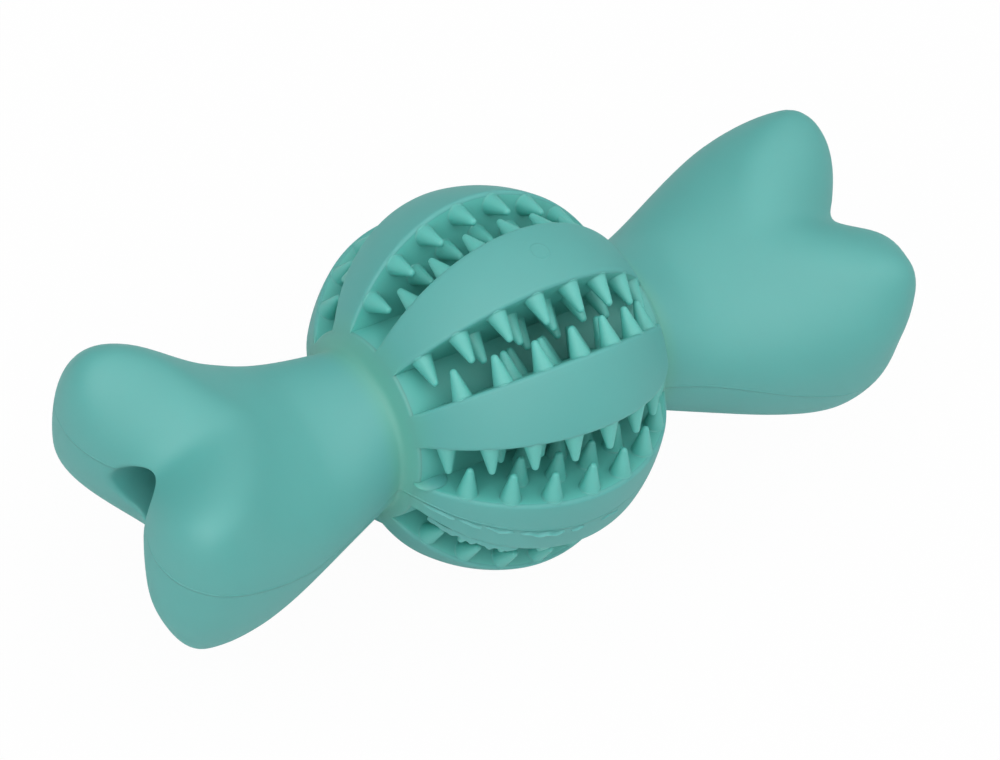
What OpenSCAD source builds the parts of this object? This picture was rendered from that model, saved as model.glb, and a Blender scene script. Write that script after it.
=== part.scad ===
// Moulded rubber chew toy: a bone with a slotted, toothed ball in the middle.
// X runs along the bone, the knuckles lie along Y, and the ball centre is the origin.

/* [Ball] */
// Radius of the ball across the bone
ball_r = 32.5; // [30:0.5:36]
// Half length of the ball along the bone
ball_half_l = 29.5; // [28:0.5:31]
// Distance from the ball centre to the ends of the slots, as a share of the half length
slot_end_share = 0.864; // [0.84:0.004:0.88]

/* [Ribs] */
// Number of ribs round the ball
rib_count = 8; // [8:1:8]
// Distance from the bone axis to the line where the two walls of a rib would meet
rib_apex = 4.5; // [4:0.25:5.5]
// Angle between the middle of a rib and its walls
rib_half_deg = 13.3; // [12:0.1:14]

/* [Teeth] */
// Length of a tooth
tooth_l = 5.1; // [4:0.1:5.2]
// Radius of a tooth just above its root
tooth_r = 1.75; // [1.4:0.05:1.8]
// Radius of the flared root of a tooth
root_r = 1.95; // [1.8:0.05:2]
// Height of the flared root
root_h = 0.4; // [0.3:0.05:0.6]
// Radius of the rounded tip
tip_r = 0.6; // [0.4:0.05:0.7]
// Distance from the ball's rim to the first row of teeth
row_inset = 2.8; // [2.7:0.1:3]
// Distance from the ball's pole to the ellipse that the first row follows
row_pole_inset = 2; // [1.9:0.1:2.4]
// Distance from one row of teeth to the next, as a share of the ribs' height over the core
row_step_share = 0.29; // [0.28:0.01:0.3]
// Distance by which each row is nearer the middle than the one outside it, along the bone
row_side_step = 1.5; // [1:0.1:2]
// Angle between two teeth of a row, seen from the ball centre
tooth_pitch_deg = 14.5; // [14.5:0.5:16]
// Angle of the tooth that the count along a rib starts from, in the slot before the first rib
first_tooth_deg = -1.2; // [-3:0.1:3]
// Angle that the first, second and third row reach, seen from the ball centre
row_reach_deg = [52.5, 33.5, 18];

/* [Bone ends] */
// Distance from the ball centre to where the neck starts to widen, inside the ball
neck_x = 20.8; // [20:0.2:22]
// Half width of the neck there
neck_y = 11.9; // [11.3:0.1:12.7]
// Half thickness of the neck there
neck_z = 11; // [10.2:0.1:11.5]
// Distance from the ball centre to the fullest part of the knuckles
knuckle_x = 62.5; // [61:0.5:64]
// Half width of the bone there, before its end is rounded off
knuckle_y = 27.9; // [26.9:0.1:28.7]
// Half thickness of the bone there, before its end is rounded off
knuckle_z = 21.3; // [19.3:0.1:22.3]
// Extra thickness of the lower half there, as a share of the upper half's
belly_share = 0.34; // [0.24:0.01:0.39]
// Distance from the ball centre to where the end starts to round off
round_x = 39.6; // [38.6:0.1:40.6]
// Length over which the end rounds off
round_l = 40; // [39:0.1:41]
// Distance from the ball centre to the bottom of the notch between the knuckles
notch_x = 70.4; // [69.4:0.1:71.4]
// Angle between the notch's walls and the plane across the bone
notch_deg = 40.8; // [37.8:0.1:43.8]
// Radius of the notch's bottom
notch_r = 2.5; // [2:0.1:4]
// Length over which the notch's edges are rounded
notch_melt_l = 8; // [6:0.2:9]
// Depth to which the middle line of an end dips below the bone's axis before it rises to the tip
arch_dip = 2.8; // [1.8:0.1:3.2]
// Distance from the ball centre to where the middle line comes back up to the axis
arch_back_x = 59.1; // [58.1:0.1:63.1]
// Length over which the neck melts into the ball
collar_melt_l = 2; // [1:0.25:2]

/* [Treat holes] */
// Radius of the treat hole in each end
treat_r = 5.5; // [5:0.1:6]
// Height of the treat hole over the bone's axis, as the tip is arched up
treat_z = 3.1; // [0:0.1:4]
// Distance from the ball centre to the bottom of the treat hole
treat_floor_x = 36; // [34:0.5:40]

/* [Hidden] */
overrun = 2;
rubber = [0.36, 0.67, 0.64];
slot_half_deg = 180 / rib_count;
slot_end_x = slot_end_share * ball_half_l;
core_r = ball_r * sqrt(1 - pow(slot_end_share, 2));
row_step = row_step_share * (ball_r - core_r);
tip_cone_deg = atan((tooth_r - tip_r) / (tooth_l - root_h));
section_power = 2.09;
end_power = 3.17;
width_power = 1.15;
thickness_power = 2.48;
grow_limit = 1.3;
parting_blend = 1.5;
notch_curve_r = 11;
fan_share = 0.5;
fan_x = neck_x + fan_share * (knuckle_x - neck_x);
reach = round_x + round_l - fan_x + knuckle_y;
neck_rings = 11;
neck_ring_power = 1.6;
fan_rings = 19;
ring_points = 56;
halvings = 16;
round_fn = 96;
tooth_fn = 32;

// Smooth minimum of two distances, melted together over the length l
function melted(a, b, l) =
    let (share = min(max(0.5 + 0.5 * (b - a) / l, 0), 1))
    b * (1 - share) + a * share - l * share * (1 - share);

// Distance-like value of the pillow that flares from the neck to the knuckles, below zero inside it
function pillow(x, y, z) =
    let (grown = min(max((x - neck_x) / (knuckle_x - neck_x), 0), grow_limit))
    let (half_y = neck_y + (knuckle_y - neck_y) * pow(grown, width_power))
    let (lower = 1 / (1 + exp(z / parting_blend)))
    let (half_z = (neck_z + (knuckle_z - neck_z) * pow(grown, thickness_power))
        * (1 + belly_share * lower * min(grown, 1)))
    (pow(pow(abs(y) / half_y, section_power) + pow(abs(z) / half_z, section_power)
        + pow(max(x - round_x, 0) / round_l, end_power), 1 / section_power) - 1)
        * (half_y + half_z) / 2;

// Distance-like value of the notch that parts the knuckles, above zero inside the notch
function notch(x, y, z) =
    (x - notch_x + z * z / (2 * notch_curve_r)
        - sqrt(pow(y * tan(notch_deg), 2) + notch_r * notch_r) + notch_r) * cos(notch_deg);

// Distance-like value of the ball's pole, which the bone end carries
function pole(x, y, z) =
    (sqrt(pow(x / ball_half_l, 2) + pow(y / ball_r, 2) + pow(z / ball_r, 2)) - 1) * ball_r;

// Height of an end's middle line over the bone's axis: a dip past the neck, then a rise to the tip
function arch(x) =
    let (along = max(x - neck_x, 0) / (arch_back_x - neck_x))
    -4 * arch_dip * along * (1 - along);

// Distance-like value of a whole bone end
function bone(x, y, z) =
    let (up = z - arch(x))
    let (notched = -melted(-pillow(x, y, up), -notch(x, y, up), notch_melt_l))
    melted(notched, pole(x, y, z), collar_melt_l);

// Distance from a point on the bone axis to the surface, found by halving
function skin(x, way, near, far, left) =
    let (middle = (near + far) / 2)
    left == 0 ? middle :
    bone(x + way[0] * middle, way[1] * middle, way[2] * middle) < 0
        ? skin(x, way, middle, far, left - 1)
        : skin(x, way, near, middle, left - 1);

// Point of the bone end's skin, seen from x on the axis at the two angles
function skin_point(x, tilt, turn) =
    let (way = [cos(tilt), sin(tilt) * cos(turn), sin(tilt) * sin(turn)])
    [x, 0, 0] + way * skin(x, way, 0, reach, halvings);

// Closed skin of a bone end: rings along the neck, then rings that fan out over the knuckles
module bone_skin() {
    turns = [for (i = [0:ring_points - 1]) i * 360 / ring_points];
    ring_0 = [for (turn = turns) [slot_end_x, core_r * cos(turn), core_r * sin(turn)]];
    neck = [for (i = [1:neck_rings]) for (turn = turns)
        skin_point(slot_end_x + (fan_x - slot_end_x) * pow(i / neck_rings, neck_ring_power),
            90, turn)];
    fan = [for (i = [1:fan_rings]) for (turn = turns)
        skin_point(fan_x, 90 * (1 - i / (fan_rings + 1)), turn)];
    points = concat(ring_0, neck, fan, [skin_point(fan_x, 0, 0)]);
    last = neck_rings + fan_rings;
    far_point = (last + 1) * ring_points;
    near_cap = [[for (i = [0:ring_points - 1]) i]];
    sides = [for (i = [0:last - 1]) for (j = [0:ring_points - 1])
        let (a = i * ring_points + j)
        let (b = i * ring_points + (j + 1) % ring_points)
        for (face = [[a, a + ring_points, b], [b, a + ring_points, b + ring_points]]) face];
    far_cap = [for (j = [0:ring_points - 1])
        [last * ring_points + j, far_point, last * ring_points + (j + 1) % ring_points]];
    polyhedron(points = points, faces = concat(near_cap, sides, far_cap));
}

// One end of the bone with its blind treat hole
module bone_end() {
    color(rubber)
        difference() {
            bone_skin();
            translate([treat_floor_x, 0, treat_z])
                rotate([0, 90, 0])
                    cylinder(r = treat_r, h = round_x + round_l - treat_floor_x + overrun,
                        $fn = round_fn);
        }
}

// The right end is on the +X side
module right_bone_end() {
    bone_end();
}

// The left end is its mirror image
module left_bone_end() {
    mirror([1, 0, 0])
        bone_end();
}

// Solid core that the slots stop at
module ball_core() {
    color(rubber)
        rotate([0, 90, 0])
            cylinder(r = core_r, h = 2 * slot_end_x, center = true, $fn = round_fn);
}

// One rib of the ball, turned about the bone axis from the +Y side
module rib(number) {
    far = ball_r + overrun;
    half_w = (far - rib_apex) * tan(rib_half_deg);
    color(rubber)
        rotate([(number - 1) * 2 * slot_half_deg, 0, 0])
            difference() {
                intersection() {
                    scale([ball_half_l / ball_r, 1, 1])
                        sphere(r = ball_r, $fn = round_fn);
                    rotate([0, 90, 0])
                        linear_extrude(height = 2 * ball_half_l, center = true)
                            polygon([[0, rib_apex], [half_w, far], [-half_w, far]]);
                }
                rotate([0, 90, 0])
                    cylinder(r = core_r, h = 2 * ball_half_l + overrun, center = true,
                        $fn = round_fn);
            }
}

// One tooth, standing on the XY plane
module tooth() {
    tip_z = tooth_l - tip_r;
    rotate_extrude($fn = tooth_fn)
        polygon(concat([[0, 0], [root_r, 0], [tooth_r, root_h]],
            [for (turn = [tip_cone_deg:(90 - tip_cone_deg) / 3:90 - tip_cone_deg])
                [tip_r * cos(turn), tip_z + tip_r * sin(turn)]],
            [[0, tooth_l]]));
}

// Rows of teeth on one wall of a rib that stands on the +Y side, with side 1 or -1
module wall_teeth(side, first_deg) {
    for (row = [0:len(row_reach_deg) - 1]) {
        row_deg = first_deg + row * tooth_pitch_deg / 2;
        from = ceil((-row_reach_deg[row] - row_deg) / tooth_pitch_deg);
        to = floor((row_reach_deg[row] - row_deg) / tooth_pitch_deg);
        for (i = [from:to]) {
            deg = row_deg + i * tooth_pitch_deg;
            along = (ball_half_l - row_pole_inset - row * row_side_step) * sin(deg);
            across = (ball_r - row_inset) * cos(deg) - row * row_step;
            out = (across - rib_apex * cos(slot_half_deg)) / cos(slot_half_deg - rib_half_deg);
            translate([along, rib_apex, 0])
                rotate([side * rib_half_deg, 0, 0])
                    translate([0, out, 0])
                        rotate([90 - side * 90, 0, 0])
                            tooth();
        }
    }
}

// Angle that the teeth of a slot start from: they shift by one pitch over all the slots
function slot_first_deg(slot) = first_tooth_deg - slot * tooth_pitch_deg / rib_count;

// All teeth of one rib, with those of its far wall half a pitch from those that they face
module rib_teeth(number) {
    color(rubber)
        rotate([(number - 1) * 2 * slot_half_deg, 0, 0]) {
            wall_teeth(1, slot_first_deg(number));
            wall_teeth(-1, slot_first_deg(number - 1) + tooth_pitch_deg / 2);
        }
}

ball_core();
rib(1);  // rib_1
rib(2);  // rib_2
rib(3);  // rib_3
rib(4);  // rib_4
rib(5);  // rib_5
rib(6);  // rib_6
rib(7);  // rib_7
rib(8);  // rib_8
rib_teeth(1);  // rib_1_teeth
rib_teeth(2);  // rib_2_teeth
rib_teeth(3);  // rib_3_teeth
rib_teeth(4);  // rib_4_teeth
rib_teeth(5);  // rib_5_teeth
rib_teeth(6);  // rib_6_teeth
rib_teeth(7);  // rib_7_teeth
rib_teeth(8);  // rib_8_teeth
left_bone_end();
right_bone_end();
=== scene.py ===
import math

import bmesh
import bpy
import numpy as np
from mathutils import Matrix, Vector


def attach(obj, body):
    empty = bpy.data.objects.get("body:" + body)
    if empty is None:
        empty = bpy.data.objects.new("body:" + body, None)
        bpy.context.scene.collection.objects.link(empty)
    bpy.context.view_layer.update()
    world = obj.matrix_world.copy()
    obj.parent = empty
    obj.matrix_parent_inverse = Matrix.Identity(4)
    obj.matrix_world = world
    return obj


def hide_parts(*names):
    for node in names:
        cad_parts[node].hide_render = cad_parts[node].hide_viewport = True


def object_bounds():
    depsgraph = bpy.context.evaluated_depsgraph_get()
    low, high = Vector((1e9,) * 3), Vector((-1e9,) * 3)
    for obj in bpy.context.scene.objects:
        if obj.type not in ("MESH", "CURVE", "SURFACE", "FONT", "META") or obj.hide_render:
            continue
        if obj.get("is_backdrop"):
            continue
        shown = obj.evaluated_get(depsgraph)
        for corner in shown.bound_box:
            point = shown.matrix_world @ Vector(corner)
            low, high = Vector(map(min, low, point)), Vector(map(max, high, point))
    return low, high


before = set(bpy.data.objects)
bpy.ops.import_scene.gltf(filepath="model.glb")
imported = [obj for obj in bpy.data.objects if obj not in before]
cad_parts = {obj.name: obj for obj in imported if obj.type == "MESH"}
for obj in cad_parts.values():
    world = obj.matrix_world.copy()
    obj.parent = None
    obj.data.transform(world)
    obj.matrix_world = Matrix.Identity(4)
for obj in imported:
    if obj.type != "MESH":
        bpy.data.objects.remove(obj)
cad_low, cad_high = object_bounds()


# Core of the ball
# The round shaft that shows as the floor of the slots. It is the middle of one solid
# moulding in natural rubber, filled and coloured teal before it was pressed in the mould.

MM = 0.001
BALL_R = 32.5
BALL_HALF_L = 29.5
SLOT_END_X = 25.5
EDGE_R = 0.7
CORE_SIDES = 128


def ball_r(x):
    """Radius of the ball's surface at a distance along the bone."""
    return BALL_R * math.sqrt(1 - (x / BALL_HALF_L) ** 2)


CORE_R = ball_r(SLOT_END_X)
# Angle through which the slot's floor turns into the ball's pole
COLLAR_TURN = math.atan(BALL_R**2 / BALL_HALF_L**2 * SLOT_END_X / CORE_R)
COLLAR_SETBACK = EDGE_R * math.tan(COLLAR_TURN / 2)

CLOUD_L = 25
GRAIN_L = 0.6
GRAIN_H = 0.05
# Painted shade darkens the slots: below the top radius, and off their ends
SHADE_TOP_R, SHADE_FULL_R = 25, 17
SHADE_END_X, SHADE_FULL_X = 24, 14
SHADE_SHARE = 0.4
NECK_TINT_X, NECK_TINT_L = 27, 4
NECK_TINT_SHARE = 0.45
# The mould's line bends three times: from x, to x, and by how much it rises
LINE_BENDS = [(-24, -36, -3.3), (-38, -70, 9.3), (30, 66, -5.3)]
LINE_FOOT_HALF_W, LINE_CREST_HALF_W = 0.35, 0.05
LINE_H = 0.2
PIN_AT = (1.4, 0.3, BALL_R)
PIN_R, PIN_EDGE_W, PIN_EDGE_H = 1.6, 0.3, 0.12
# Angle between faces from which an edge is a real one
SHARP_TURN = math.radians(40)


def linear(hex_colour):
    """A colour written as an sRGB hex value, as linear RGBA."""
    parts = [int(hex_colour[i : i + 2], 16) / 255 for i in (0, 2, 4)]
    lit = [c / 12.92 if c <= 0.04045 else ((c + 0.055) / 1.055) ** 2.4 for c in parts]
    return (*lit, 1.0)


def add_node(material, kind, settings=(), inputs=()):
    """One node with its settings, and its inputs set to a value or linked to a socket."""
    node = material.node_tree.nodes.new(kind)
    for name, value in dict(settings).items():
        setattr(node, name, value)
    for name, value in dict(inputs).items():
        if isinstance(value, bpy.types.NodeSocket):
            material.node_tree.links.new(value, node.inputs[name])
        else:
            node.inputs[name].default_value = value
    return node


def slot_painted_shade(material, parts, colour):
    """A colour with painted shade: it darkens toward the floor of the slots, but not in their
    shallow ends.
    """
    across = add_node(
        material,
        "ShaderNodeCombineXYZ",
        inputs={"Y": parts.outputs["Y"], "Z": parts.outputs["Z"]},
    )
    off_axis = add_node(
        material,
        "ShaderNodeVectorMath",
        settings={"operation": "LENGTH"},
        inputs={0: across.outputs[0]},
    )
    deep = add_node(
        material,
        "ShaderNodeMapRange",
        settings={"interpolation_type": "SMOOTHSTEP"},
        inputs={
            "Value": off_axis.outputs["Value"],
            "From Min": SHADE_TOP_R * MM,
            "From Max": SHADE_FULL_R * MM,
            "To Max": SHADE_SHARE,
        },
    )
    along = add_node(
        material,
        "ShaderNodeMath",
        settings={"operation": "ABSOLUTE"},
        inputs={0: parts.outputs["X"]},
    )
    off_ends = add_node(
        material,
        "ShaderNodeMapRange",
        settings={"interpolation_type": "SMOOTHSTEP"},
        inputs={
            "Value": along.outputs[0],
            "From Min": SHADE_END_X * MM,
            "From Max": SHADE_FULL_X * MM,
        },
    )
    shade_amount = add_node(
        material,
        "ShaderNodeMath",
        settings={"operation": "MULTIPLY"},
        inputs={0: deep.outputs["Result"], 1: off_ends.outputs["Result"]},
    )
    darkened = add_node(
        material,
        "ShaderNodeMix",
        settings={"data_type": "RGBA"},
        inputs={0: shade_amount.outputs[0], "A": colour, "B": linear("1E7A70")},
    )
    return darkened.outputs["Result"]


def neck_tint(material, parts, colour):
    """A colour that is a little greener in a narrow band where the necks meet the ball."""
    along = add_node(
        material,
        "ShaderNodeMath",
        settings={"operation": "ABSOLUTE"},
        inputs={0: parts.outputs["X"]},
    )
    past_neck = add_node(
        material,
        "ShaderNodeMath",
        settings={"operation": "SUBTRACT"},
        inputs={0: along.outputs[0], 1: NECK_TINT_X * MM},
    )
    off_neck = add_node(
        material,
        "ShaderNodeMath",
        settings={"operation": "ABSOLUTE"},
        inputs={0: past_neck.outputs[0]},
    )
    near_neck = add_node(
        material,
        "ShaderNodeMapRange",
        settings={"interpolation_type": "SMOOTHSTEP"},
        inputs={
            "Value": off_neck.outputs[0],
            "From Min": NECK_TINT_L * MM,
            "From Max": 0.0,
            "To Max": NECK_TINT_SHARE,
        },
    )
    tinted = add_node(
        material,
        "ShaderNodeMix",
        settings={"data_type": "RGBA"},
        inputs={0: near_neck.outputs["Result"], "A": colour, "B": linear("60B094")},
    )
    return tinted.outputs["Result"]


def mould_line(material, parts, normal):
    """The low line where the mould halves met. It is flat round the ball. As the rubber is bent
    a little, it dips and rises along the left end and sinks along the right end."""
    line_z = 0.0
    for start_x, end_x, change in LINE_BENDS:
        bend = add_node(
            material,
            "ShaderNodeMapRange",
            settings={"interpolation_type": "SMOOTHSTEP"},
            inputs={
                "Value": parts.outputs["X"],
                "From Min": start_x * MM,
                "From Max": end_x * MM,
                "To Max": change * MM,
            },
        )
        line_z = add_node(
            material, "ShaderNodeMath", inputs={0: bend.outputs["Result"], 1: line_z}
        ).outputs[0]
    over_line = add_node(
        material,
        "ShaderNodeMath",
        settings={"operation": "SUBTRACT"},
        inputs={0: parts.outputs["Z"], 1: line_z},
    )
    off_line = add_node(
        material,
        "ShaderNodeMath",
        settings={"operation": "ABSOLUTE"},
        inputs={0: over_line.outputs[0]},
    )
    ridge = add_node(
        material,
        "ShaderNodeMapRange",
        settings={"interpolation_type": "SMOOTHSTEP"},
        inputs={
            "Value": off_line.outputs[0],
            "From Min": LINE_FOOT_HALF_W * MM,
            "From Max": LINE_CREST_HALF_W * MM,
        },
    )
    lined = add_node(
        material,
        "ShaderNodeBump",
        inputs={
            "Height": ridge.outputs["Result"],
            "Strength": 0.8,
            "Distance": LINE_H * MM,
            "Normal": normal,
        },
    )
    return lined.outputs["Normal"]


def pin_mark(material, place, normal):
    """The faint ring, on the top rib, of a pin that pushed the toy out of the mould."""
    from_pin = add_node(
        material,
        "ShaderNodeVectorMath",
        settings={"operation": "DISTANCE"},
        inputs={0: place, 1: tuple(c * MM for c in PIN_AT)},
    )
    past_edge = add_node(
        material,
        "ShaderNodeMath",
        settings={"operation": "SUBTRACT"},
        inputs={0: from_pin.outputs["Value"], 1: PIN_R * MM},
    )
    off_edge = add_node(
        material,
        "ShaderNodeMath",
        settings={"operation": "ABSOLUTE"},
        inputs={0: past_edge.outputs[0]},
    )
    ring = add_node(
        material,
        "ShaderNodeMapRange",
        settings={"interpolation_type": "SMOOTHSTEP"},
        inputs={"Value": off_edge.outputs[0], "From Min": PIN_EDGE_W * MM, "From Max": 0.0},
    )
    marked = add_node(
        material,
        "ShaderNodeBump",
        inputs={
            "Height": ring.outputs["Result"],
            "Strength": 0.5,
            "Distance": PIN_EDGE_H * MM,
            "Normal": normal,
        },
    )
    return marked.outputs["Normal"]


def moulded_rubber(name, in_slots):
    """Compression-moulded teal rubber: matte, with a soft broad sheen, faint flow clouds and
    a fine eggshell grain from the mould. A little light goes through its thin edges."""
    material = bpy.data.materials.new(name)
    material.use_nodes = True
    place = add_node(material, "ShaderNodeTexCoord").outputs["Object"]
    parts = add_node(material, "ShaderNodeSeparateXYZ", inputs={"Vector": place})
    # In the slots the rubber is painted paler and greener, as painted glow for the light that
    # shines through the thin teeth and fills the slots
    clouds = add_node(
        material,
        "ShaderNodeTexNoise",
        inputs={"Vector": place, "Scale": 1 / (CLOUD_L * MM), "Detail": 3.0, "Roughness": 0.5},
    )
    clouded = add_node(
        material,
        "ShaderNodeMix",
        settings={"data_type": "RGBA"},
        inputs={
            0: clouds.outputs["Fac"],
            "A": linear("52B3AA" if in_slots else "4BA29D"),
            "B": linear("5CBDB3" if in_slots else "55AEA8"),
        },
    )
    grain = add_node(
        material,
        "ShaderNodeTexNoise",
        inputs={"Vector": place, "Scale": 1 / (GRAIN_L * MM), "Detail": 2.0},
    )
    grained = add_node(
        material,
        "ShaderNodeBump",
        inputs={"Height": grain.outputs["Fac"], "Strength": 0.12, "Distance": GRAIN_H * MM},
    )
    colour, normal = clouded.outputs["Result"], grained.outputs["Normal"]
    # In the slots, painted shade darkens the rubber toward their floor
    if in_slots:
        colour = slot_painted_shade(material, parts, colour)
    else:
        colour = neck_tint(material, parts, colour)
        normal = mould_line(material, parts, normal)
        normal = pin_mark(material, place, normal)
    shader = material.node_tree.nodes["Principled BSDF"]
    material.node_tree.links.new(colour, shader.inputs["Base Color"])
    material.node_tree.links.new(normal, shader.inputs["Normal"])
    shader.inputs["IOR"].default_value = 1.5
    shader.inputs["Roughness"].default_value = 0.6
    shader.inputs["Specular IOR Level"].default_value = 1.0
    shader.inputs["Subsurface Weight"].default_value = 0.3
    shader.inputs["Subsurface Radius"].default_value = (0.25, 1.0, 0.9)
    shader.inputs["Subsurface Scale"].default_value = 3 * MM
    return material


rubber = moulded_rubber("teal moulded rubber", in_slots=False)
# The slots' rubber carries painted glow, paler than the rest, and painted shade toward the
# slots' floor
glow_and_shade_slot_rubber = moulded_rubber("teal rubber of the slots with painted glow and shade", in_slots=True)


def finish_piece(piece_mesh, name, material, *cad_nodes):
    """Turns a finished bmesh in mm into an object that rides on the part, smooth but for its
    real edges."""
    bmesh.ops.scale(piece_mesh, vec=(MM, MM, MM), verts=piece_mesh.verts)
    bmesh.ops.recalc_face_normals(piece_mesh, faces=piece_mesh.faces)
    mesh = bpy.data.meshes.new(name)
    piece_mesh.to_mesh(mesh)
    piece_mesh.free()
    mesh.shade_smooth()
    mesh.set_sharp_from_angle(angle=SHARP_TURN)
    mesh.materials.append(material)
    piece = bpy.data.objects.new(name, mesh)
    bpy.context.scene.collection.objects.link(piece)
    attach(piece, "root")
    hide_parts(*cad_nodes)
    return piece


core = bmesh.new()
bmesh.ops.create_cone(
    core,
    cap_ends=True,
    segments=CORE_SIDES,
    radius1=CORE_R,
    radius2=CORE_R,
    depth=2 * (SLOT_END_X - COLLAR_SETBACK),
    matrix=Matrix.Rotation(math.pi / 2, 4, "Y"),
)
finish_piece(core, "ball_core_rubber", glow_and_shade_slot_rubber, "ball_core")


# Ribs of the ball
# Eight thick ribs stand round the core like the slices of an orange. They are part of the
# moulding; their edges are slightly rounded, as the mould's cutter left them.

RIB_COUNT = 8
# A rib's walls lean apart by this half angle, from a line this far off the bone's axis
RIB_APEX = 4.5
RIB_HALF = math.radians(13.3)
RIB_OVERRUN = 0.2
RIB_END_X = SLOT_END_X + RIB_OVERRUN
RIB_SUNK = 0.4
RIB_FOOT_R = CORE_R - RIB_SUNK
# The edges' rounding shrinks to a share of the slot's depth near the slot's ends
EDGE_LEAST_R = 0.05
EDGE_DEPTH_SHARE = 0.4
# Faces that lie deeper under the ball's surface than this are the walls of the slots
SLOT_FACE_DEPTH = 1.2 * EDGE_R
RIB_STEPS = 96
WALL_STEPS = 6
EDGE_STEPS = 6
TOP_STEPS = 8
WELD_L = 0.0005


def closed_skin(rings):
    """A grid laid over rings of points, closed round and filled at both ends."""
    around = len(rings[0])
    skin = bmesh.new()
    bmesh.ops.create_grid(skin, x_segments=len(rings) - 1, y_segments=around, size=1)
    for vertex in skin.verts:
        ring = round((vertex.co.x + 1) / 2 * (len(rings) - 1))
        spot = round((vertex.co.y + 1) / 2 * around) % around
        vertex.co = rings[ring][spot]
    bmesh.ops.remove_doubles(skin, verts=skin.verts, dist=WELD_L)
    bmesh.ops.holes_fill(skin, edges=skin.edges, sides=0)
    return skin


def arc(centre, radius, start, end, steps):
    """Points along a round stretch, in the plane across the bone."""
    turns = [start + (end - start) * i / steps for i in range(steps + 1)]
    return [(centre[0] + radius * math.cos(t), centre[1] + radius * math.sin(t)) for t in turns]


def rib_section(x):
    """The rib's closed outline across the bone, at one distance along it."""
    surface_r = ball_r(x)
    edge_r = min(EDGE_R, EDGE_LEAST_R + EDGE_DEPTH_SHARE * max(surface_r - CORE_R, 0))
    lean = RIB_HALF - math.asin((edge_r + RIB_APEX * math.sin(RIB_HALF)) / (surface_r - edge_r))
    edge_centre = ((surface_r - edge_r) * math.cos(lean), (surface_r - edge_r) * math.sin(lean))
    foot = -RIB_APEX * math.cos(RIB_HALF) + math.sqrt(
        RIB_FOOT_R**2 - (RIB_APEX * math.sin(RIB_HALF)) ** 2
    )
    foot_point = (RIB_APEX + foot * math.cos(RIB_HALF), foot * math.sin(RIB_HALF))
    edge = arc(edge_centre, edge_r, math.pi / 2 + RIB_HALF, lean, EDGE_STEPS)
    wall = [
        tuple(a + (b - a) * i / WALL_STEPS for a, b in zip(foot_point, edge[0]))
        for i in range(WALL_STEPS)
    ]
    top = arc((0, 0), surface_r, lean, 0, TOP_STEPS)[1:]
    half = wall + edge + top
    return half + [(y, -z) for y, z in reversed(half[:-1])]


# The sections are closer together toward the slots' ends
stations = [RIB_END_X * math.sin(math.pi * (i / RIB_STEPS - 0.5)) for i in range(RIB_STEPS + 1)]
rib_rings = [[Vector((x, y, z)) for y, z in rib_section(x)] for x in stations]
for number in range(RIB_COUNT):
    rib = closed_skin(rib_rings)
    bmesh.ops.rotate(
        rib,
        verts=rib.verts,
        matrix=Matrix.Rotation(number * 2 * math.pi / RIB_COUNT, 3, "X"),
    )
    piece = finish_piece(rib, f"rib_{number + 1}_rubber", rubber, f"rib_{number + 1}")
    piece.data.materials.append(glow_and_shade_slot_rubber)
    for face in piece.data.polygons:
        x, y, z = face.center / MM
        face.material_index = int(math.hypot(y, z) < ball_r(x) - SLOT_FACE_DEPTH)


# Flash on the lower rib
# Thin broken fins of rubber, squeezed out where the mould halves met. They weren't trimmed off
# the -Y rib; a lip of it also hangs at that rib's lower edge.

# Ends along the bone and height of every fin on the middle of the rib
FINS = [
    (-24.9, -21.3, 0.7),
    (-21, -18, 0.6),
    (-17.7, -13.4, 0.45),
    (-12.6, -5.2, 0.65),
    (-4, -1.4, 0.4),
    (2, 6, 0.25),
]
LIP = (-23.6, -11.5, 0.9)
# Where they stand round the ball, how far they lean and how wavy their crests are
FIN_DEG, FIN_LEAN, FIN_WAVE_SHARE = -1.3, 0.3, 0.06
LIP_DEG, LIP_LEAN, LIP_WAVE_SHARE = -11.2, math.radians(60), 0.35
FIN_FOOT_HALF_W = 0.3
FIN_SUNK = 0.3
FIN_LEAST_H = 0.02
# Points across a fin, from foot to foot, as shares: of half its foot, how it rises out of the
# rib and how high it goes
FIN_SHARES = [(-1, 0, 0), (-0.45, 1, 0.6), (0, 1, 1), (0.35, 1, 0.6), (1, 0, 0)]
FIN_STEPS = 32
# A fin snakes by this angle, and its foot and its crest wave at these rates, per mm
SNAKE_DEG, SNAKE_RATE = 0.35, 2.1
CREST_RATE, CREST_SLOW_RATE = 3.7, 1.3
# How bluntly a fin ends
FIN_END_POWER = 0.4
# Half sizes of the mound, and its place along the bone, up the rib's wall and off it
MOUND_SIZE = (3.1, 2.4, 0.8)
MOUND_AT = (-23, 11.8, 0)


def fin(start, end, height, degrees, lean, wave):
    """One fin that stands on the -Y rib, higher in its middle; its crest is wavy by a share."""
    rings = []
    for i in range(FIN_STEPS + 1):
        x = start + (end - start) * i / FIN_STEPS
        turn = math.radians(degrees + SNAKE_DEG * math.sin(SNAKE_RATE * x))
        out = Vector((0, -math.cos(turn), math.sin(turn)))
        across = Vector((0, math.sin(turn), math.cos(turn)))
        up = out * math.cos(lean) - across * math.sin(lean)
        swell = math.sin(math.pi * i / FIN_STEPS) ** FIN_END_POWER
        ragged = math.sin(CREST_RATE * x) * math.sin(CREST_SLOW_RATE * x)
        crest = height * swell * (1 - wave + wave * ragged) + FIN_LEAST_H
        foot = Vector((x, 0, 0)) + out * (ball_r(x) - FIN_SUNK)
        rings.append(
            [
                foot + across * FIN_FOOT_HALF_W * side + up * (FIN_SUNK * risen + crest * high)
                for side, risen, high in FIN_SHARES
            ]
        )
    return closed_skin(rings)


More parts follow.
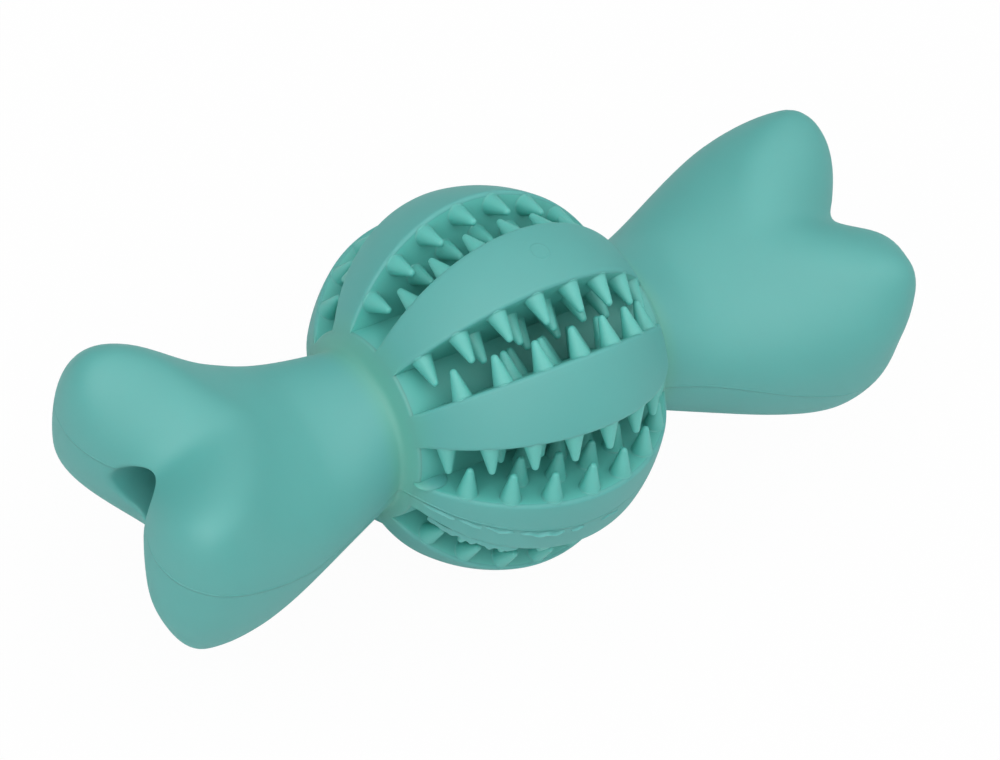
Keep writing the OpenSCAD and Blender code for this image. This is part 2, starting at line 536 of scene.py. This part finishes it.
for i, (start, end, height) in enumerate(FINS):
    flash = fin(start, end, height, FIN_DEG, FIN_LEAN, FIN_WAVE_SHARE)
    finish_piece(flash, f"flash_fin_{i + 1}", rubber)
finish_piece(fin(*LIP, LIP_DEG, LIP_LEAN, LIP_WAVE_SHARE), "flash_lip", rubber)
# A low mound of rubber that ran into the slot's corner, on the upper wall of the same rib
mound = bmesh.new()
bmesh.ops.create_uvsphere(mound, u_segments=32, v_segments=16, radius=1)
bmesh.ops.scale(mound, vec=MOUND_SIZE, verts=mound.verts)
bmesh.ops.transform(
    mound,
    matrix=Matrix.Rotation(math.pi, 4, "X")
    @ Matrix.Translation((0, RIB_APEX, 0))
    @ Matrix.Rotation(-RIB_HALF, 4, "X")
    @ Matrix.Translation(MOUND_AT),
    verts=mound.verts,
)
finish_piece(mound, "flash_mound", rubber)


# Teeth in the slots
# Three staggered rows of soft pointed teeth on both walls of every rib scrub a dog's teeth.
# They are part of the moulding, each with a small round fillet at its root.

TOOTH_L = 5.1
TOOTH_R = 1.72
TOOTH_SUNK = 0.3
ROOT_R = 1.95
ROOT_H = 0.35
TIP_R = 0.65
ROW_INSET = 2.8
ROW_POLE_INSET = 2
ROW_STEP = 4.68
ROW_SIDE_STEP = 1.5
PITCH = math.radians(14.5)
FIRST_TOOTH = math.radians(-1.2)
# How far each row reaches to both sides of the ball's middle, as an angle
ROW_REACH = [math.radians(52.5), math.radians(33.5), math.radians(18)]
MOST_TO_ONE_SIDE = 4
SLOT_HALF = math.pi / RIB_COUNT
TOOTH_SIDES = 20
TOOTH_ARC_STEPS = 5


def tooth_outline():
    """Half outline of a tooth from its axis below the wall, over the fillet, to the tip."""
    cone = math.atan((TOOTH_R - TIP_R) / (TOOTH_L - ROOT_H))
    shares = [i / TOOTH_ARC_STEPS for i in range(TOOTH_ARC_STEPS + 1)]
    fillet = [
        (TOOTH_R + (ROOT_R - TOOTH_R) * (1 - math.sin(t)), ROOT_H * (1 - math.cos(t)))
        for t in [math.pi / 2 * share for share in shares]
    ]
    tip_z = TOOTH_L - TIP_R
    tip = [
        (TIP_R * math.cos(t), tip_z + TIP_R * math.sin(t))
        for t in [cone + (math.pi / 2 - cone) * share for share in shares]
    ]
    return [(0, -TOOTH_SUNK), (ROOT_R, -TOOTH_SUNK)] + fillet + tip[:-1] + [(0, TOOTH_L)]


one_tooth = bmesh.new()
outline = [one_tooth.verts.new((r, 0, z)) for r, z in tooth_outline()]
outline_edges = [one_tooth.edges.new(pair) for pair in zip(outline, outline[1:])]
bmesh.ops.spin(
    one_tooth,
    geom=outline + outline_edges,
    cent=(0, 0, 0),
    axis=(0, 0, 1),
    angle=2 * math.pi,
    steps=TOOTH_SIDES,
    use_merge=True,
)
bmesh.ops.remove_doubles(one_tooth, verts=one_tooth.verts, dist=WELD_L)
tooth_mesh = bpy.data.meshes.new("one tooth")
one_tooth.to_mesh(tooth_mesh)
one_tooth.free()

for number in range(RIB_COUNT):
    teeth = bmesh.new()
    for side in (1, -1):
        # The rows shift by one tooth over the eight slots, and the two walls of a slot interlock
        slot = number + 1 if side == 1 else number
        first = FIRST_TOOTH - slot * PITCH / RIB_COUNT + (0 if side == 1 else PITCH / 2)
        for row, row_reach in enumerate(ROW_REACH):
            for i in range(-MOST_TO_ONE_SIDE, MOST_TO_ONE_SIDE + 1):
                lean = first + row * PITCH / 2 + i * PITCH
                if abs(lean) > row_reach:
                    continue
                along = (BALL_HALF_L - ROW_POLE_INSET - row * ROW_SIDE_STEP) * math.sin(lean)
                across = (BALL_R - ROW_INSET) * math.cos(lean) - row * ROW_STEP
                out = (across - RIB_APEX * math.cos(SLOT_HALF)) / math.cos(SLOT_HALF - RIB_HALF)
                before = len(teeth.verts)
                teeth.from_mesh(tooth_mesh)
                teeth.verts.ensure_lookup_table()
                place = (
                    Matrix.Rotation(number * 2 * math.pi / RIB_COUNT, 4, "X")
                    @ Matrix.Translation((along, RIB_APEX, 0))
                    @ Matrix.Rotation(side * RIB_HALF, 4, "X")
                    @ Matrix.Translation((0, out, 0))
                    @ Matrix.Rotation(0 if side == 1 else math.pi, 4, "X")
                )
                bmesh.ops.transform(teeth, matrix=place, verts=teeth.verts[before:])
    finish_piece(teeth, f"rib_{number + 1}_soft_teeth", glow_and_shade_slot_rubber, f"rib_{number + 1}_teeth")
bpy.data.meshes.remove(tooth_mesh)


# Bone ends
# A neck runs from each pole of the ball and spreads into two knuckles with a web between.
# Each end is part of the moulding, with a round treat hole that a steel pin left in it.

# Half width and half thickness at the neck and at the knuckles, and how the one grows into
# the other
NECK_X, NECK_Y, NECK_Z = 20.8, 11.9, 11
KNUCKLE_X, KNUCKLE_Y, KNUCKLE_Z = 62.5, 27.9, 21.3
WIDTH_POWER, THICKNESS_POWER = 1.15, 2.48
MOST_GROWN = 1.3
SECTION_POWER = 2.09
# The lower half is thicker by this share, and it melts into the upper half over this height
BELLY_SHARE = 0.34
BELLY_MELT_H = 1.5
# The end rounds off from here on
ROUND_X, ROUND_L, END_POWER = 39.6, 40, 3.17
NOTCH_X, NOTCH_SLOPE, NOTCH_R = 70.4, math.tan(math.radians(40.8)), 2.5
NOTCH_CURVE_R = 11
NOTCH_MELT_L = 8
# The middle line dips below the axis past the neck, is back on it here and rises to the tip
ARCH_DIP, ARCH_BACK_X = 2.8, 59.1
# The upper half of the neck stands this much higher where it meets the ball
COLLAR_RISE, COLLAR_RISE_X, COLLAR_RISE_L = 3.3, 27, 15
COLLAR_MELT_L = 1
TREAT_Z = 3.1
TREAT_R = 5.5
TREAT_RIM_R = 1.1
TREAT_FLOOR_X = 36
TREAT_FLOOR_EDGE_R = 1.5
# The collar's edge is round in the slots and fades out behind the ribs
COLLAR_SLOT_DEG, COLLAR_FADE_DEG, COLLAR_LEAST_SHARE = 15.5, 2, 0.03
NECK_START_X = SLOT_END_X + 0.3
NECK_CROWD_POWER = 1.5
FAN_X = NECK_X + 0.5 * (KNUCKLE_X - NECK_X)
LONGEST_RAY = 50.0
AROUND = 128
TURNS = np.arange(AROUND) * 2 * math.pi / AROUND
COLLAR_STEPS = 6
NECK_RINGS = 40
KNUCKLE_STEPS = 60
RIM_STEPS = 8
BORE_STEPS = 8
TREAT_FLOOR_STEPS = 5
RAY_HALVINGS = 22
RIM_HALVINGS = 18


def melted(a, b, length):
    """Smooth minimum of two distances."""
    share = np.clip(0.5 + 0.5 * (b - a) / length, 0, 1)
    return b * (1 - share) + a * share - length * share * (1 - share)


def bone(x, y, z):
    """Distance-like value of a bone end and the ball's pole that it joins, below zero inside."""
    grown = np.clip((x - NECK_X) / (KNUCKLE_X - NECK_X), 0, MOST_GROWN)
    along = np.maximum(x - NECK_X, 0) / (ARCH_BACK_X - NECK_X)
    up = z + 4 * ARCH_DIP * along * (1 - along)
    lower = 1 / (1 + np.exp(up / BELLY_MELT_H))
    half_y = NECK_Y + (KNUCKLE_Y - NECK_Y) * grown**WIDTH_POWER
    half_z = (NECK_Z + (KNUCKLE_Z - NECK_Z) * grown**THICKNESS_POWER) * (
        1 + BELLY_SHARE * lower * np.minimum(grown, 1)
    )
    fade = np.clip((COLLAR_RISE_X + COLLAR_RISE_L - x) / COLLAR_RISE_L, 0, 1)
    half_z = half_z + COLLAR_RISE * fade**2 * (3 - 2 * fade) * (1 - lower)
    rounding = (np.maximum(x - ROUND_X, 0) / ROUND_L) ** END_POWER
    section = np.abs(y / half_y) ** SECTION_POWER + np.abs(up / half_z) ** SECTION_POWER
    pillow = ((section + rounding) ** (1 / SECTION_POWER) - 1) * (half_y + half_z) / 2
    notch_floor_x = NOTCH_X - NOTCH_R - up**2 / (2 * NOTCH_CURVE_R)
    notch_x = notch_floor_x + np.sqrt((NOTCH_SLOPE * y) ** 2 + NOTCH_R**2)
    notch = (x - notch_x) / math.sqrt(1 + NOTCH_SLOPE**2)
    pole = (np.sqrt((x / BALL_HALF_L) ** 2 + (y**2 + z**2) / BALL_R**2) - 1) * BALL_R
    return melted(-melted(-pillow, -notch, NOTCH_MELT_L), pole, COLLAR_MELT_L)


def skin_points(x, height, tilt):
    """Points where rays from x, at a height over the axis, leave the bone end, for all turns."""
    way = np.stack(
        [np.cos(tilt) + 0 * TURNS, np.sin(tilt) * np.cos(TURNS), np.sin(tilt) * np.sin(TURNS)]
    )
    near, far = np.zeros(AROUND), np.full(AROUND, LONGEST_RAY)
    for _ in range(RAY_HALVINGS):
        middle = (near + far) / 2
        inside = bone(x + way[0] * middle, way[1] * middle, height + way[2] * middle) < 0
        near, far = np.where(inside, middle, near), np.where(inside, far, middle)
    return np.stack([x + way[0] * near, way[1] * near, height + way[2] * near])


def round_ring(x, r, height):
    """Points of a ring round a line along the bone, at a height over the axis."""
    return np.stack([x + 0 * TURNS, r * np.cos(TURNS), height + r * np.sin(TURNS)])


# The collar: the slots' floors turn over a small round edge into the ball's pole
slot_step = 360 / RIB_COUNT
from_slot = np.abs(np.degrees(TURNS) % slot_step - slot_step / 2)
in_slot = np.clip((COLLAR_SLOT_DEG - from_slot) / COLLAR_FADE_DEG, COLLAR_LEAST_SHARE, 1)
edge_r = EDGE_R * in_slot
rings = []
for i in range(COLLAR_STEPS + 1):
    turn = math.pi / 2 - COLLAR_TURN * i / COLLAR_STEPS
    x = SLOT_END_X - edge_r * math.tan(COLLAR_TURN / 2) + edge_r * math.cos(turn)
    rings.append(round_ring(x, CORE_R - edge_r + edge_r * math.sin(turn), 0))
# The neck, in rings that are close together near the ball
for i in range(NECK_RINGS):
    along = (i / NECK_RINGS) ** NECK_CROWD_POWER
    x = NECK_START_X + (FAN_X - NECK_START_X) * along
    rings.append(skin_points(x, TREAT_Z * along, math.pi / 2))
# The knuckles, in rings that fan out to the rim of the treat hole
low, high = np.zeros(AROUND), np.full(AROUND, math.pi / 4)
for _ in range(RIM_HALVINGS):
    middle = (low + high) / 2
    point = skin_points(FAN_X, TREAT_Z, middle)
    wide = np.hypot(point[1], point[2] - TREAT_Z) > TREAT_R + TREAT_RIM_R
    low, high = np.where(wide, low, middle), np.where(wide, middle, high)
rim_tilt = (low + high) / 2
for i in range(KNUCKLE_STEPS + 1):
    tilt = math.pi / 2 + (rim_tilt - math.pi / 2) * i / KNUCKLE_STEPS
    rings.append(skin_points(FAN_X, TREAT_Z, tilt))
# The rounded rim of the treat hole
rim, before_rim = rings[-1], rings[-2]
rim_r = np.hypot(rim[1], rim[2] - TREAT_Z)
before_r = np.hypot(before_rim[1], before_rim[2] - TREAT_Z)
slope = (rim[0] - before_rim[0]) / (rim_r - before_r)
turn_in_x = rim[0] + slope * (TREAT_R - rim_r)
for i in range(1, RIM_STEPS + 1):
    s = i / RIM_STEPS
    x = (1 - s) ** 2 * rim[0] + 2 * s * (1 - s) * turn_in_x + s**2 * (turn_in_x - TREAT_RIM_R)
    rings.append(round_ring(x, (1 - s) ** 2 * rim_r + (1 - (1 - s) ** 2) * TREAT_R, TREAT_Z))
# The bore and its rounded bottom
floor_edge_x = TREAT_FLOOR_X + TREAT_FLOOR_EDGE_R
for i in range(1, BORE_STEPS + 1):
    x = rings[-1][0] + (floor_edge_x - rings[-1][0]) * i / BORE_STEPS
    rings.append(round_ring(x, TREAT_R, TREAT_Z))
for i in range(1, TREAT_FLOOR_STEPS + 1):
    turn = math.pi / 2 * i / TREAT_FLOOR_STEPS
    x = floor_edge_x - TREAT_FLOOR_EDGE_R * math.sin(turn)
    rings.append(round_ring(x, TREAT_R - TREAT_FLOOR_EDGE_R * (1 - math.cos(turn)), TREAT_Z))


def push(skin, way, *ramps):
    """Pushes a skin by a way in mm, fading in along each ramp: (axis, start, full)."""
    for vertex in skin.verts:
        share = 1.0
        for axis, start, full in ramps:
            step = min(max((vertex.co["XYZ".index(axis)] - start) / (full - start), 0), 1)
            share *= step * step * (3 - 2 * step)
        vertex.co += share * Vector(way)


bone_rings = [[Vector(point) for point in ring.T] for ring in rings]
right_end = closed_skin(bone_rings)
# The ends aren't quite alike: this +Y knuckle is longer, and this -Y knuckle is fuller below
push(right_end, (2.6, 0, 0), ("X", 58, 72), ("Y", -16, -6))
push(right_end, (0.5, -0.6, 0), ("X", 52, 66), ("Y", -14, -23), ("Z", 4, -6))
finish_piece(right_end, "right_bone_end_rubber", rubber, "right_bone_end")
left_end = closed_skin(bone_rings)
bmesh.ops.scale(left_end, vec=(-1, 1, 1), verts=left_end.verts)
# This +Y knuckle stands a little higher, and this -Y knuckle hangs a little lower and longer
push(left_end, (-0.3, 0.8, 1.4), ("X", -47, -62), ("Y", 7, 17), ("Z", -4, 6))
push(left_end, (-1.1, 0, -0.7), ("X", -58, -70), ("Y", -6, -16), ("Z", 8, -4))
finish_piece(left_end, "left_bone_end_rubber", rubber, "left_bone_end")


# Floor
# A plain sheet of white paper that the ball stands on, far wider than the picture. It shows
# white and keeps the toy's soft shadow.

FLOOR_HALF_M = 4.0
FLOOR_GLOW_SHARE = 0.97

floor_mesh = bmesh.new()
bmesh.ops.create_grid(floor_mesh, x_segments=1, y_segments=1, size=FLOOR_HALF_M)
bmesh.ops.translate(floor_mesh, verts=floor_mesh.verts, vec=(0, 0, cad_low[2]))
floor_data = bpy.data.meshes.new("floor")
floor_mesh.to_mesh(floor_data)
floor_mesh.free()
floor = bpy.data.objects.new("floor", floor_data)
bpy.context.scene.collection.objects.link(floor)
# Matte white paper: seen by the camera it glows a little, so that it reads as white
paper = bpy.data.materials.new("white paper")
paper.use_nodes = True
paper.node_tree.nodes.remove(paper.node_tree.nodes["Principled BSDF"])
matte = add_node(paper, "ShaderNodeBsdfDiffuse", inputs={"Color": linear("E6E6E6")})
glow = add_node(paper, "ShaderNodeEmission", inputs={"Color": linear("FFFFFF"), "Strength": 1.0})
path = add_node(paper, "ShaderNodeLightPath")
seen = add_node(
    paper,
    "ShaderNodeMath",
    settings={"operation": "MULTIPLY"},
    inputs={0: path.outputs["Is Camera Ray"], 1: FLOOR_GLOW_SHARE},
)
blend = add_node(
    paper,
    "ShaderNodeMixShader",
    inputs={0: seen.outputs[0], 1: matte.outputs[0], 2: glow.outputs[0]},
)
paper.node_tree.links.new(
    blend.outputs[0], paper.node_tree.nodes["Material Output"].inputs["Surface"]
)
floor_data.materials.append(paper)
floor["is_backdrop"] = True


# Light
# A large softbox round the camera and three weaker ones over the toy, as the photograph is lit
# evenly from the front, and a dim white room.

SOFTBOX_M = 1.6
SOFTBOX_AWAY_M = 1.2
ROOM_STRENGTH = 0.17


def softbox(name, direction, power):
    """A square area lamp that looks at the ball from a direction in the row frame."""
    lamp = bpy.data.lights.new(name, "AREA")
    lamp.size = SOFTBOX_M
    lamp.energy = power
    box = bpy.data.objects.new(name, lamp)
    way = Vector(direction).normalized()
    box.location = way * SOFTBOX_AWAY_M
    box.rotation_euler = way.to_track_quat("Z", "Y").to_euler()
    bpy.context.scene.collection.objects.link(box)


softbox("front softbox", (-0.51, -0.42, 0.75), 11.4)
softbox("left softbox", (-0.55, 0.25, 0.9), 5.6)
softbox("right softbox", (0.6, -0.4, 0.75), 5)
softbox("back softbox", (0.4, 0.3, 0.85), 4.8)
world = bpy.data.worlds.new("white room")
bpy.context.scene.world = world
world.use_nodes = True
world.node_tree.nodes["Background"].inputs["Color"].default_value = linear("FFFFFF")
world.node_tree.nodes["Background"].inputs["Strength"].default_value = ROOM_STRENGTH


# Camera
# A long lens from far off, as the photograph's nearly parallel edges show. Its axes in the
# row frame, and the ball's place in the picture, were fitted to the slots and the outline.

CAMERA_RIGHT = Vector((0.80521, -0.54141, 0.24191))
CAMERA_UP = Vector((0.30226, 0.72569, 0.61806))
CAMERA_BACK = Vector((-0.51018, -0.42456, 0.74798))
CAMERA_AWAY_M = 1.054
BALL_LEFT, BALL_ABOVE = 2.25 * MM, 0.38 * MM
PIXELS_PER_METRE = 5970
IMAGE_W = 1000
SENSOR_W = 36

lens = bpy.data.cameras.new("camera")
lens.sensor_width = SENSOR_W
lens.lens = PIXELS_PER_METRE * CAMERA_AWAY_M / IMAGE_W * SENSOR_W
camera = bpy.data.objects.new("camera", lens)
spot = CAMERA_AWAY_M * CAMERA_BACK + BALL_LEFT * CAMERA_RIGHT - BALL_ABOVE * CAMERA_UP
camera.matrix_world = Matrix.Translation(spot) @ Matrix(
    (CAMERA_RIGHT, CAMERA_UP, CAMERA_BACK)
).transposed().to_4x4()
bpy.context.scene.collection.objects.link(camera)
bpy.context.scene.camera = camera
bpy.context.scene.view_settings.view_transform = "Standard"

low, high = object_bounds()
